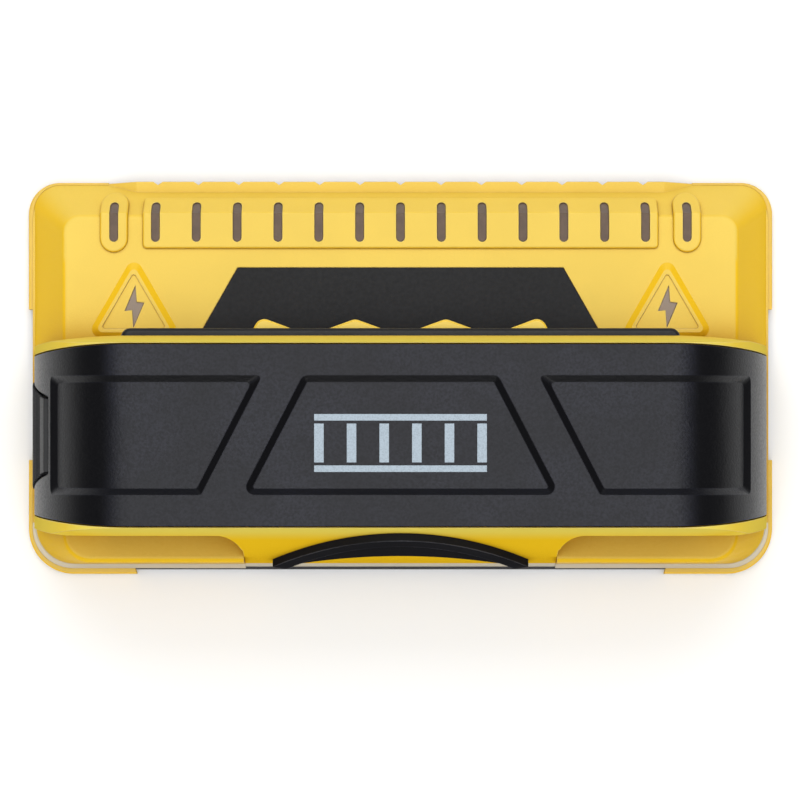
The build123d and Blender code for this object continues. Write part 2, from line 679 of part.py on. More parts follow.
def latch_column(grow=0.0, rise=0.0, low_z=LATCH_LOW_Z):
    """The latch's outline run out through the left end of the cover."""
    bottom, top = low_z - grow, LATCH_HIGH_Z + rise
    low, high = latch_half(bottom - rise) + grow, LATCH_HIGH_HALF + grow
    outline = polygon((HANDLE_MID_Y - low, bottom), (HANDLE_MID_Y + low, bottom),
                      (HANDLE_MID_Y + high, top), (HANDLE_MID_Y - high, top))
    return Pos(-70, 0, 0) * extrude(Plane.YZ * outline, amount=-30)


def latch_stem():
    """The part of the latch that passes through the cover's slot, with clearance round it."""
    return box(-95, -80, HANDLE_MID_Y - 2.4, HANDLE_MID_Y + 2.4, 16.7, 21.3)


def make_cover_latch():
    """The ribbed tab sunk in the end of the cover, its stem and its inner plate."""
    pad = (bend_solid(0.1, 0) - bend_solid(LATCH_SINK - LATCH_GAP, -1)) & latch_column()
    pad += (bend_solid(-0.4, 0) - bend_solid(0.2, -1)) & latch_column(low_z=LATCH_BAR_Z)
    for i in range(RIB_COUNT):
        z = LATCH_LOW_Z + RIB_R + (LATCH_BAR_Z - LATCH_LOW_Z - 3 * RIB_R) * i / (RIB_COUNT - 1)
        width = 2 * (latch_half(z) + RIB_OVERHANG)
        rib = Pos(end_surface_x(z, -0.05), HANDLE_MID_Y, z) * Rot(90, 0, 0) * Cylinder(RIB_R, width)
        pad += rib
    stem = box(-87.0, -84.0, HANDLE_MID_Y - 2.1, HANDLE_MID_Y + 2.1, 17.0, 21.0)
    plate = box(-84.2, -82.9, HANDLE_MID_Y - 5, HANDLE_MID_Y + 5, 15.0, 21.0)
    return pad + stem + plate


# ---- thumb button ----------------------------------------------------------------

FACE_FOOT_Z = 5.0
FACE_TILT = atan2(LOW_FLARE, 1)
FACE_PLANE = Plane(origin=(0, low_face_y(FACE_FOOT_Z), FACE_FOOT_Z), x_dir=(1, 0, 0),
                   z_dir=(0, -cos(FACE_TILT), sin(FACE_TILT)))
BEZEL_PROUD = 1.9
BUTTON_PROUD = 1.0
SWITCH_V = 23.5


def face_box(u0, u1, v0, v1, w0, w1):
    """A box in the sloped face's own axes: across, up the slope and out of it."""
    middle = Pos((u0 + u1) / 2, (v0 + v1) / 2, (w0 + w1) / 2)
    return FACE_PLANE * middle * Box(u1 - u0, v1 - v0, w1 - w0)


def face_rod(v, radius, w0, w1):
    """A round bar square to the sloped face, on its middle line."""
    return FACE_PLANE * Pos(0, v, (w0 + w1) / 2) * Cylinder(radius, w1 - w0)


def arch_curve(half, end, mid):
    """A parabola over a width, from its ends up to its middle."""
    return Bezier((-half, end), (0, 2 * mid - end), (half, end))


def arched(half_high, high_end, high_mid, half_low, low_end, low_mid):
    """An outline between a steep upper curve and a flatter lower curve."""
    return make_face([arch_curve(half_high, high_end, high_mid),
                      Line((half_high, high_end), (half_low, low_end)),
                      arch_curve(half_low, low_end, low_mid),
                      Line((-half_low, low_end), (-half_high, high_end))])


def bezel_outline(grow=0.0):
    """The outer band of the button's frame."""
    return arched(30.8 + grow, 7.6 - grow, 41.6 + grow, 27.4 - grow, 5.2 - grow, 34.6 - grow)


def button_outline(grow=0.0):
    """The crescent that the thumb presses."""
    return arched(26.9 + grow, 5.6 - grow, 34.1 + grow, 25.0, 6.6 - 2 * grow, 17.4 - grow)


def make_button_bezel():
    """The arched black band that frames the button."""
    return extrude(FACE_PLANE * bezel_outline(), amount=-3.0) + extrude(FACE_PLANE * bezel_outline(),
                                                                        amount=BEZEL_PROUD)


def make_thumb_button():
    """The arched button with its raised grip bar and the boss that reaches the switch."""
    body = extrude(FACE_PLANE * button_outline(), amount=-1.6)
    body += extrude(FACE_PLANE * button_outline(), amount=BUTTON_PROUD)
    grip = arched(14.6, 25.4, 29.2, 14.6, 18.9, 21.6)
    body += extrude(FACE_PLANE * grip, amount=BUTTON_PROUD + 1.0, taper=20)
    body += face_rod(SWITCH_V, 2.2, -3.2, -1.5)
    return body


def make_switch_body():
    """The tactile switch's housing, bored for its plunger."""
    housing = face_box(-3, 3, SWITCH_V - 3, SWITCH_V + 3, -8.3, -4.9)
    return housing - face_rod(SWITCH_V, 1.75, -7.0, -4.0)


def make_switch_plunger():
    """The switch's plunger, which moves with the button."""
    return face_rod(SWITCH_V, 1.68, -5.6, -3.2)


def make_switch_board():
    """The small board behind the button."""
    return face_box(-9, 9, SWITCH_V - 8.5, SWITCH_V + 4.5, -9.5, -8.3)


# ---- batteries and leads ---------------------------------------------------------

BAY_HALF = 28.4


def cell(y, turn):
    """One cylindrical cell lying along the handle, its button end at +X or -X."""
    can = fillet(Cylinder(CELL_R, CELL_LENGTH).edges(), 0.6)
    tip = Pos(0, 0, CELL_LENGTH / 2 + 0.4) * Cylinder(2.7, 1.2)
    return Pos(turn * (BAY_HALF - 1.5 - CELL_LENGTH / 2), y, CELL_Z) * Rot(0, turn * 90, 0) * (can + tip)


def make_battery_cradle():
    """The tray that holds both cells."""
    low_y, high_y = CELL_Y[1] - 8.6, CELL_Y[0] + 8.6
    tray = box(-BAY_HALF - 1.6, BAY_HALF + 1.6, low_y, high_y, GAP_TOP_Z + 2.3, 41.0)
    tray += box(BAY_HALF, BAY_HALF + 1.6, low_y, high_y, 40.0, 47.0)
    tray += box(-BAY_HALF - 1.6, -BAY_HALF, low_y, high_y, 40.0, 47.0)
    for y in CELL_Y:
        tray -= Pos(0, y, CELL_Z) * Rot(0, 90, 0) * Cylinder(CELL_R + 0.2, 2 * BAY_HALF)
    return tray


def make_battery_springs():
    """A tapered spring at each cell's flat end."""
    length = 2 * BAY_HALF - CELL_LENGTH - 1.6
    springs = []
    for y, turn in zip(CELL_Y, (1, -1)):
        cone = Rot(0, turn * 90, 0) * Cone(3.8, 2.4, length)
        springs.append(Pos(-turn * (BAY_HALF - length / 2), y, CELL_Z) * cone)
    return Compound(springs)


def make_battery_contacts():
    """A flat contact at each cell's button end."""
    plates = []
    for y, turn in zip(CELL_Y, (1, -1)):
        x = turn * (BAY_HALF - 0.2)
        plates.append(box(x - 0.2, x + 0.2, y - 4, y + 4, CELL_Z - 4, CELL_Z + 4))
    return Compound(plates)


def lead(points, bend):
    """An insulated lead along straight runs joined by arcs."""
    path = FilletPolyline(*points, radius=bend)
    section = Plane(origin=path @ 0, z_dir=path % 0) * Circle(0.7)
    return sweep(section, path=path)


def make_battery_lead(y, x, end_x):
    """A lead from the cradle through the leg to the board."""
    start = BAY_HALF + 1.7
    return lead([(start, y, 44.0), (x, y, 44.0 - 5.0), (x, LEAD_HOLE[1], 24.0), (x, LEAD_HOLE[1], 9.6),
                 (end_x, 8.0, 9.6), (end_x, 15.0, 7.4)], 2.5)


def make_switch_lead(x):
    """A lead from the switch board through the pillar's foot to the board."""
    return lead([(x, -33.4, 17.6), (x, -33.4, 9.4), (x, -12.0, 9.0), (x, 12.0, 9.0), (x, 15.0, 7.5)], 1.6)


# ---- write every node ------------------------------------------------------------

os.makedirs("parts", exist_ok=True)

save(make_front_shell(), "front_shell")
save(make_back_plate(), "back_plate")
for name, bumper in make_bumpers().items():
    save(bumper, name)
save(make_glide_pads(), "glide_pads")
save(make_front_label(), "front_label")
save(make_lens_strip(), "lens_strip")
save(make_end_lens(-END_SLOT_X), "end_lens_left")
save(make_end_lens(END_SLOT_X), "end_lens_right")
save(make_flash_lens(-WARNING_X), "flash_lens_left")
save(make_flash_lens(WARNING_X), "flash_lens_right")
save(make_led_baffle(), "led_baffle")
save(make_main_board(), "main_board")
save(make_sensor_plates(), "sensor_plates")
save(make_indicator_leds(), "indicator_leds")
save(make_warning_leds(), "warning_leds")
save(make_controller_chip(), "controller_chip")
save(make_board_parts(), "board_parts")
save(make_screws(BOARD_SCREWS, 3.8, 2.0, BOARD_Z, 11.0, 1.0), "board_screws")
save(make_screws(BASE_SCREWS, 1.1, 2.7, 2.1, 11.0, 1.2), "base_screws")
save(make_screws(HANDLE_SCREWS, 11.8, 2.4, FACE_Z - SHELL_WALL, 25.0, 1.2), "handle_screws")
save(make_handle_shell(), "handle_shell")
save(finger_rest_plate(), "finger_rest")
save(grip_bar(), "grip_strip")
save(make_battery_cover(), "battery_cover")
save(pin_rod(PIN_R, BARREL_LOW_Y - 2.2, BARREL_HIGH_Y + 2.2), "cover_hinge_pin")
save(make_cover_latch(), "cover_latch")
save(make_button_bezel(), "button_bezel")
save(make_thumb_button(), "thumb_button")
save(make_switch_body(), "switch_body")
save(make_switch_plunger(), "switch_plunger")
save(make_switch_board(), "switch_board")
save(Compound([make_switch_lead(-1.2), make_switch_lead(1.2)]), "switch_leads")
save(make_battery_cradle(), "battery_cradle")
save(cell(CELL_Y[0], 1), "battery_1")
save(cell(CELL_Y[1], -1), "battery_2")
save(make_battery_springs(), "battery_springs")
save(make_battery_contacts(), "battery_contacts")
save(make_battery_lead(CELL_Y[0], 78.0, 66.0), "battery_lead_red")
save(make_battery_lead(CELL_Y[1], 76.0, 63.0), "battery_lead_black")
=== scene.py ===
import math

import bmesh
import bpy
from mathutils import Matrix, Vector


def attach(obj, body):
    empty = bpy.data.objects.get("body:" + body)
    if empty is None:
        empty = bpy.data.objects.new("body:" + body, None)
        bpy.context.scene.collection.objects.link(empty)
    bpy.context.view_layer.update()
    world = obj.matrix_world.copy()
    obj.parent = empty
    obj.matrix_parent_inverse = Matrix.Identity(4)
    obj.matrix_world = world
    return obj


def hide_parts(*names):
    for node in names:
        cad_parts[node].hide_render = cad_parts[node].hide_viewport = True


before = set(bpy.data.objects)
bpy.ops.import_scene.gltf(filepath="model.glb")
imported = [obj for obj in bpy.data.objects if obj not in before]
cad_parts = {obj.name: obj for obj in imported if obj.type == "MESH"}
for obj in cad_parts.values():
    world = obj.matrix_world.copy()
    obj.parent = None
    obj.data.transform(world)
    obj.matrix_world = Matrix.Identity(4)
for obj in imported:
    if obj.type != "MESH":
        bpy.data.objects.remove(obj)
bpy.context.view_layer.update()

# Everything is in metres, in the CAD frame: X along the handle, Y towards the slots,
# Z out of the front. The scanner lies on its back on the floor.

MM = 0.001

# ---- camera ----------------------------------------------------------------------

CAMERA_HEIGHT = 1.0
CAMERA_Y = -16.6 * MM
CAMERA_X = -0.12 * MM
VIEW_WIDTH = 195.2 * MM
SENSOR = 36.0
FRAMING_SHIFT = 0.0575


def make_camera():
    """A long lens straight above the scanner, with its row of slots towards the top."""
    data = bpy.data.cameras.new("camera")
    data.sensor_width = SENSOR
    data.lens = SENSOR * CAMERA_HEIGHT / VIEW_WIDTH
    data.shift_y = FRAMING_SHIFT
    data.clip_start = 0.05
    data.clip_end = 20.0
    camera = bpy.data.objects.new("camera", data)
    camera.location = (CAMERA_X, CAMERA_Y, CAMERA_HEIGHT)
    bpy.context.scene.collection.objects.link(camera)
    bpy.context.scene.camera = camera


# ---- places on the scanner that the materials follow ------------------------------

BAND_FOOT_Y = 30.0 * MM  # lower edge of the raised band of slots
# Between these heights the lenses grow paler: painted light showing through.
SLOT_LIT_Y = (33.5 * MM, 30.0 * MM)  # where the lenses start and end growing paler
WINDOW_LIT_Y = (27.0 * MM, 25.0 * MM)
SHELL_FOOT = (-35.0 * MM, 3.9 * MM)  # the pale ledge: where it starts in Y, and how high it goes
PILLAR_FOOT = (-44.4 * MM, 7.0 * MM)
FOOT_BLUR = 0.5 * MM
# How far the painted crevice shade reaches, and its longer reach in the pockets beside the button.
POCKET_Y = -37.0 * MM
CREVICE_REACH = 11.0 * MM
POCKET_REACH = 3.6 * CREVICE_REACH
# Where the painted lit cast on the handle's front edge rises, and how far it spreads at the ends.
CROWN_LOW_Z = 36.0 * MM
CROWN_HIGH_Z = 50.0 * MM
CROWN_END_X = 84.0 * MM
CROWN_END_RUN = 16.0 * MM
CROWN_END_SHARE = 0.75
CELL_MIDDLE_Y = -14.1 * MM
CELL_SPACING = 15.0 * MM
CELL_Z = 41.0 * MM
CELL_SPLIT_X = 12.0 * MM  # where the two tones of a cell's wrap meet
CELL_BARE_RADIUS = 6.3 * MM
EDGE_BLUR = 0.1 * MM

# ---- colours ---------------------------------------------------------------------

YELLOW = (0.83, 0.595, 0.11)
# Painted shade: the deeper yellow put on the shell's steep walls.
SHADED_WALL_YELLOW = (0.86, 0.53, 0.014)
# Painted shade: the deep amber put into corners and pockets.
CREVICE_SHADE_YELLOW = (0.48, 0.25, 0.006)
# Edges: part rubbed wear, part painted highlight.
RIM_WEAR_AND_HIGHLIGHT_YELLOW = (0.88, 0.70, 0.30)
BUMPER_YELLOW = (0.74, 0.50, 0.095)
# Painted light: a paler, greener cast of the yellow on the handle's front edge.
CROWN_LIT_LEMON = (0.79, 0.63, 0.10)
FOOT_CREAM = (0.62, 0.56, 0.44)
COVER_BLACK = (0.0095, 0.0100, 0.0160)
# Painted shade: the darker black put on the cover's recess walls.
SHADED_COVER_WALL_BLACK = (0.003, 0.003, 0.004)
DEEP_BLACK = (0.0075, 0.0075, 0.0085)
PLATE_BLACK = (0.022, 0.022, 0.025)
INNER_BLACK = (0.03, 0.03, 0.033)
CHIP_BLACK = (0.02, 0.02, 0.021)
LEAD_BLACK = (0.015, 0.015, 0.016)
LEAD_RED = (0.5, 0.02, 0.015)
SMOKE = (0.108, 0.066, 0.040)
# Painted light: the paler smoke where light shows through a lens's lower end.
LIT_PALE_SMOKE = (0.27, 0.21, 0.16)
INK = (0.36, 0.43, 0.49)
NICKEL = (0.72, 0.70, 0.66)


# ---- node helpers ----------------------------------------------------------------

def new_material(name, base_color, roughness, specular=0.5):
    """A material with one Principled shader; returns it with its tree and shader."""
    material = bpy.data.materials.new(name)
    material.use_nodes = True
    tree = material.node_tree
    tree.nodes.clear()
    output = tree.nodes.new("ShaderNodeOutputMaterial")
    shader = tree.nodes.new("ShaderNodeBsdfPrincipled")
    tree.links.new(shader.outputs["BSDF"], output.inputs["Surface"])
    shader.inputs["Base Color"].default_value = (*base_color, 1.0)
    shader.inputs["Roughness"].default_value = roughness
    shader.inputs["Specular IOR Level"].default_value = specular
    return material, tree, shader


def place(tree):
    """The point on the piece, in its own frame, in metres."""
    return tree.nodes.new("ShaderNodeTexCoord").outputs["Object"]


def noise(tree, where, size, detail=3.0, roughness=0.55):
    """Noise whose features are about one size in metres."""
    node = tree.nodes.new("ShaderNodeTexNoise")
    node.inputs["Scale"].default_value = 1.0 / size
    node.inputs["Detail"].default_value = detail
    node.inputs["Roughness"].default_value = roughness
    tree.links.new(where, node.inputs["Vector"])
    return node.outputs["Fac"]


def spread(tree, value, low, high, out_low=0.0, out_high=1.0, smooth=True):
    """A value stretched from one range to another."""
    node = tree.nodes.new("ShaderNodeMapRange")
    node.interpolation_type = "SMOOTHSTEP" if smooth else "LINEAR"
    node.inputs["From Min"].default_value = low
    node.inputs["From Max"].default_value = high
    node.inputs["To Min"].default_value = out_low
    node.inputs["To Max"].default_value = out_high
    tree.links.new(value, node.inputs["Value"])
    return node.outputs["Result"]


def math_node(tree, operation, first, second=None):
    """One arithmetic step; either input may be a number or a socket."""
    node = tree.nodes.new("ShaderNodeMath")
    node.operation = operation
    for socket, value in zip(node.inputs, (first, second)):
        if value is None:
            continue
        if isinstance(value, (int, float)):
            socket.default_value = value
        else:
            tree.links.new(value, socket)
    return node.outputs["Value"]


def blend_colour(tree, factor, first, second):
    """Two colours, or colour sockets, mixed by a factor socket."""
    node = tree.nodes.new("ShaderNodeMix")
    node.data_type = "RGBA"
    tree.links.new(factor, node.inputs["Factor"])
    for index, value in ((6, first), (7, second)):
        if isinstance(value, tuple):
            node.inputs[index].default_value = (*value, 1.0)
        else:
            tree.links.new(value, node.inputs[index])
    return node.outputs[2]


def component(tree, vector, axis):
    """One component of a vector socket."""
    node = tree.nodes.new("ShaderNodeSeparateXYZ")
    tree.links.new(vector, node.inputs["Vector"])
    return node.outputs[axis]


def shade(colour, gain):
    """A colour made lighter or darker."""
    return tuple(min(1.0, channel * gain) for channel in colour)


def soft_edges(tree, radius):
    """Normals rounded over sharp edges, and how near each point is to one."""
    bevel = tree.nodes.new("ShaderNodeBevel")
    bevel.samples = 4
    bevel.inputs["Radius"].default_value = radius
    geometry = tree.nodes.new("ShaderNodeNewGeometry")
    dot = tree.nodes.new("ShaderNodeVectorMath")
    dot.operation = "DOT_PRODUCT"
    tree.links.new(bevel.outputs["Normal"], dot.inputs[0])
    tree.links.new(geometry.outputs["Normal"], dot.inputs[1])
    edge = spread(tree, dot.outputs["Value"], 0.995, 0.80)
    return bevel.outputs["Normal"], edge


def bump(tree, height, distance, strength, normal=None):
    """A bump of a real depth in metres, on top of a given normal."""
    node = tree.nodes.new("ShaderNodeBump")
    node.inputs["Distance"].default_value = distance
    node.inputs["Strength"].default_value = strength
    tree.links.new(height, node.inputs["Height"])
    if normal is not None:
        tree.links.new(normal, node.inputs["Normal"])
    return node.outputs["Normal"]


def wallness(tree):
    """Where painted wall shade goes: 0 where the surface faces out of the front, 1 on the drafted walls."""
    geometry = tree.nodes.new("ShaderNodeNewGeometry")
    facing = component(tree, geometry.outputs["Normal"], "Z")
    # Painted shade goes on steep walls and on the sloped sides of the low relief below the band of slots;
    # walls that face up towards the slots get less of it, painted as lit from that side.
    steep = spread(tree, facing, 0.97, 0.70)
    below_band = spread(tree, component(tree, place(tree), "Y"), BAND_FOOT_Y, BAND_FOOT_Y - 3 * MM)
    relief = math_node(tree, "MULTIPLY", spread(tree, facing, 0.985, 0.90), below_band)
    upper = spread(tree, component(tree, geometry.outputs["Normal"], "Y"), 0.2, 0.8, 1.0, 0.3)
    return math_node(tree, "MULTIPLY", math_node(tree, "MAXIMUM", steep, relief), upper)


def crevice(tree):
    """How closed in a point is, as a mask for painted shade: 0 in the open, 1 deep in a corner or a pocket
    beside the button.
    """
    node = tree.nodes.new("ShaderNodeAmbientOcclusion")
    node.samples = 6
    along = component(tree, place(tree), "Y")
    reach = spread(tree, along, POCKET_Y + MM, POCKET_Y - MM, CREVICE_REACH, POCKET_REACH)
    tree.links.new(reach, node.inputs["Distance"])
    return spread(tree, node.outputs["AO"], 0.92, 0.36)


def foot_edge(tree, start_y, top):
    """1 on the narrow ledge along the foot of the lower side, up to a height, and 0 elsewhere."""
    where = place(tree)
    outer = spread(tree, component(tree, where, "Y"), start_y, start_y - FOOT_BLUR)
    low = spread(tree, component(tree, where, "Z"), top + FOOT_BLUR, top)
    return math_node(tree, "MULTIPLY", outer, low)


def crown(tree):
    """1 on the front edge of the handle, rising towards it, and part of that at its two ends: where the
    painted lit cast goes.
    """
    where = place(tree)
    front = spread(tree, component(tree, where, "Z"), CROWN_LOW_Z, CROWN_HIGH_Z)
    away = math_node(tree, "ABSOLUTE", component(tree, where, "X"))
    ends = spread(tree, away, CROWN_END_X - CROWN_END_RUN, CROWN_END_X, 0.0, CROWN_END_SHARE)
    return math_node(tree, "MAXIMUM", front, ends)


# ---- materials -------------------------------------------------------------------

def moulded(name, colour, roughness, grain=0.35 * MM, grain_depth=0.02 * MM, edge_gain=1.25,
            edge_radius=0.35 * MM, variation=0.05, specular=0.5, painted_wall_shade=None, rim_wear_and_highlight=None,
            painted_crevice_shade=None, foot=None, crown_lit_cast=None, speckle=0.35):
    """Moulded plastic or rubber: spark-eroded grain, faint flow marks, and edges lightened as part rubbed
    wear, part painted highlight; optionally painted wall shade, painted crevice shade, a painted lit cast on
    the handle's front edge and a pale foot ledge.
    """
    material, tree, shader = new_material(name, colour, roughness, specular)
    where = place(tree)
    cloud = noise(tree, where, 18 * MM, 4.0)
    speck = noise(tree, where, grain, 2.0, 0.6)
    dark, light = shade(colour, 1 - variation), shade(colour, 1 + variation)
    base = blend_colour(tree, spread(tree, cloud, 0.35, 0.65), dark, light)
    fine = math_node(tree, "MULTIPLY", spread(tree, speck, 0.3, 0.7), speckle)
    base = blend_colour(tree, fine, base, shade(colour, 1 - 2 * variation))
    # Painted shade: steep walls take a darker, deeper colour.
    if painted_wall_shade:
        base = blend_colour(tree, wallness(tree), base, painted_wall_shade)
    # Painted light: a paler, greener cast of the yellow towards the handle's front edge.
    if crown_lit_cast:
        base = blend_colour(tree, crown(tree), base, crown_lit_cast)
    normal, edge = soft_edges(tree, edge_radius)
    # Edges lighten in patches: part rubbed wear, part painted highlight.
    wear_and_highlight = math_node(tree, "MULTIPLY", edge, spread(tree, cloud, 0.3, 0.6, 0.35, 1.0))
    base = blend_colour(tree, wear_and_highlight, base, rim_wear_and_highlight or shade(colour, edge_gain))
    # Painted shade: corners and the pockets beside the button grow deep amber.
    if painted_crevice_shade:
        base = blend_colour(tree, crevice(tree), base, painted_crevice_shade)
    if foot:
        base = blend_colour(tree, foot_edge(tree, *foot), base, FOOT_CREAM)
    tree.links.new(base, shader.inputs["Base Color"])
    rough = spread(tree, speck, 0.25, 0.75, roughness - 0.05, roughness + 0.07)
    rough = math_node(tree, "SUBTRACT", rough, math_node(tree, "MULTIPLY", wear_and_highlight, 0.08))
    tree.links.new(rough, shader.inputs["Roughness"])
    tree.links.new(bump(tree, speck, grain_depth, 0.6, normal), shader.inputs["Normal"])
    return material


def smoked_lens():
    """Smoked polycarbonate with a faint haze, painted paler towards its lower end as if lit through."""
    material, tree, shader = new_material("smoked_lens", SMOKE, 0.32, 0.25)
    where = place(tree)
    haze = noise(tree, where, 2.2 * MM, 3.0)
    base = blend_colour(tree, spread(tree, haze, 0.3, 0.7), shade(SMOKE, 0.86), shade(SMOKE, 1.12))
    # Painted light: the lens grows paler towards its lower end, where light shows through.
    along = component(tree, where, "Y")
    slot_foot = math_node(tree, "MULTIPLY", spread(tree, along, *SLOT_LIT_Y), 0.3)
    window = math_node(tree, "MULTIPLY", spread(tree, along, *WINDOW_LIT_Y), 0.7)
    base = blend_colour(tree, math_node(tree, "ADD", slot_foot, window), base, LIT_PALE_SMOKE)
    tree.links.new(base, shader.inputs["Base Color"])
    shader.inputs["Coat Weight"].default_value = 0.12
    shader.inputs["Coat Roughness"].default_value = 0.15
    normal, _ = soft_edges(tree, 0.2 * MM)
    tree.links.new(bump(tree, haze, 0.02 * MM, 0.3, normal), shader.inputs["Normal"])
    return material


def metal(name, colour, roughness, along="X"):
    """Plated metal with fine drawn lines along one axis."""
    material, tree, shader = new_material(name, colour, roughness)
    shader.inputs["Metallic"].default_value = 1.0
    where = place(tree)
    mapping = tree.nodes.new("ShaderNodeMapping")
    stretch = {"X": (0.05, 1, 1), "Y": (1, 0.05, 1), "Z": (1, 1, 0.05)}[along]
    mapping.inputs["Scale"].default_value = stretch
    tree.links.new(where, mapping.inputs["Vector"])
    lines = noise(tree, mapping.outputs["Vector"], 0.12 * MM, 2.0)
    stain = noise(tree, where, 4 * MM, 3.0)
    base = blend_colour(tree, spread(tree, stain, 0.3, 0.7), shade(colour, 0.82), shade(colour, 1.1))
    tree.links.new(base, shader.inputs["Base Color"])
    rough = spread(tree, lines, 0.3, 0.7, roughness - 0.08, roughness + 0.12)
    tree.links.new(rough, shader.inputs["Roughness"])
    normal, _ = soft_edges(tree, 0.15 * MM)
    tree.links.new(bump(tree, lines, 0.01 * MM, 0.4, normal), shader.inputs["Normal"])
    return material


def circuit_board():
    """Solder mask with faint tracks under it."""
    mask, track = (0.012, 0.13, 0.055), (0.03, 0.24, 0.10)
    material, tree, shader = new_material("circuit_board", mask, 0.3)
    where = place(tree)
    brick = tree.nodes.new("ShaderNodeTexBrick")
    brick.inputs["Scale"].default_value = 1.0 / (4 * MM)
    brick.inputs["Mortar Size"].default_value = 0.06
    brick.inputs["Color1"].default_value = (0, 0, 0, 1)
    brick.inputs["Color2"].default_value = (0, 0, 0, 1)
    brick.inputs["Mortar"].default_value = (1, 1, 1, 1)
    tree.links.new(where, brick.inputs["Vector"])
    wander = spread(tree, noise(tree, where, 9 * MM, 2.0), 0.42, 0.58)
    lines = math_node(tree, "MULTIPLY", brick.outputs["Fac"], wander)
    tree.links.new(blend_colour(tree, lines, mask, track), shader.inputs["Base Color"])
    tree.links.new(bump(tree, lines, 0.03 * MM, 0.5), shader.inputs["Normal"])
    shader.inputs["Coat Weight"].default_value = 0.3
    return material


def felt(name, colour):
    """Short dense felt."""
    material, tree, shader = new_material(name, colour, 0.95, 0.2)
    where = place(tree)
    fibre = noise(tree, where, 0.25 * MM, 4.0, 0.75)
    base = blend_colour(tree, fibre, shade(colour, 0.6), shade(colour, 1.5))
    tree.links.new(base, shader.inputs["Base Color"])
    shader.inputs["Sheen Weight"].default_value = 0.4
    tree.links.new(bump(tree, fibre, 0.15 * MM, 0.8), shader.inputs["Normal"])
    return material


def battery_wrap():
    """A plain two-tone film wrap, split towards the button end of each cell, and bare metal ends."""
    dark, light, bare = (0.025, 0.03, 0.04), (0.62, 0.30, 0.12), (0.66, 0.65, 0.62)
    material, tree, shader = new_material("battery_wrap", dark, 0.28)
    where = place(tree)
    along = component(tree, where, "X")
    side = component(tree, where, "Y")
    middle = (CELL_MIDDLE_Y - EDGE_BLUR, CELL_MIDDLE_Y + EDGE_BLUR)
    turned = spread(tree, side, *middle, -1.0, 1.0, smooth=False)
    towards_button = math_node(tree, "MULTIPLY", along, turned)
    band = spread(tree, towards_button, CELL_SPLIT_X - EDGE_BLUR, CELL_SPLIT_X + EDGE_BLUR)
    streak = noise(tree, where, 6 * MM, 3.0)
    base = blend_colour(tree, band, dark, light)
    base = blend_colour(tree, math_node(tree, "MULTIPLY", streak, 0.15), base, (0.1, 0.1, 0.1))
    off_middle = math_node(tree, "ABSOLUTE", math_node(tree, "ADD", side, -CELL_MIDDLE_Y))
    across = math_node(tree, "SUBTRACT", off_middle, CELL_SPACING / 2)
    above = math_node(tree, "SUBTRACT", component(tree, where, "Z"), CELL_Z)
    across_squared = math_node(tree, "MULTIPLY", across, across)
    above_squared = math_node(tree, "MULTIPLY", above, above)
    radius = math_node(tree, "SQRT", math_node(tree, "ADD", across_squared, above_squared))
    end = spread(tree, radius, CELL_BARE_RADIUS + EDGE_BLUR, CELL_BARE_RADIUS - EDGE_BLUR)
    tree.links.new(end, shader.inputs["Metallic"])
    base = blend_colour(tree, end, base, bare)
    tree.links.new(base, shader.inputs["Base Color"])
    tree.links.new(bump(tree, streak, 0.02 * MM, 0.3), shader.inputs["Normal"])
    return material


def gloss(name, colour):
    """A small glossy moulding: a lamp or the sleeve of a wire."""
    material, tree, shader = new_material(name, colour, 0.2)
    cloud = noise(tree, place(tree), 0.8 * MM)
    tree.links.new(blend_colour(tree, cloud, shade(colour, 0.75), colour), shader.inputs["Base Color"])
    shader.inputs["Coat Weight"].default_value = 0.5
    return material


def print_ink():
    """Matte pale ink, a little uneven where it sits on the grain."""
    material, tree, shader = new_material("print_ink", INK, 0.6, 0.3)
    where = place(tree)
    speck = noise(tree, where, 0.3 * MM, 2.0)
    base = blend_colour(tree, spread(tree, speck, 0.25, 0.6), shade(INK, 0.8), shade(INK, 1.06))
    tree.links.new(base, shader.inputs["Base Color"])
    tree.links.new(bump(tree, speck, 0.02 * MM, 0.4), shader.inputs["Normal"])
    return material


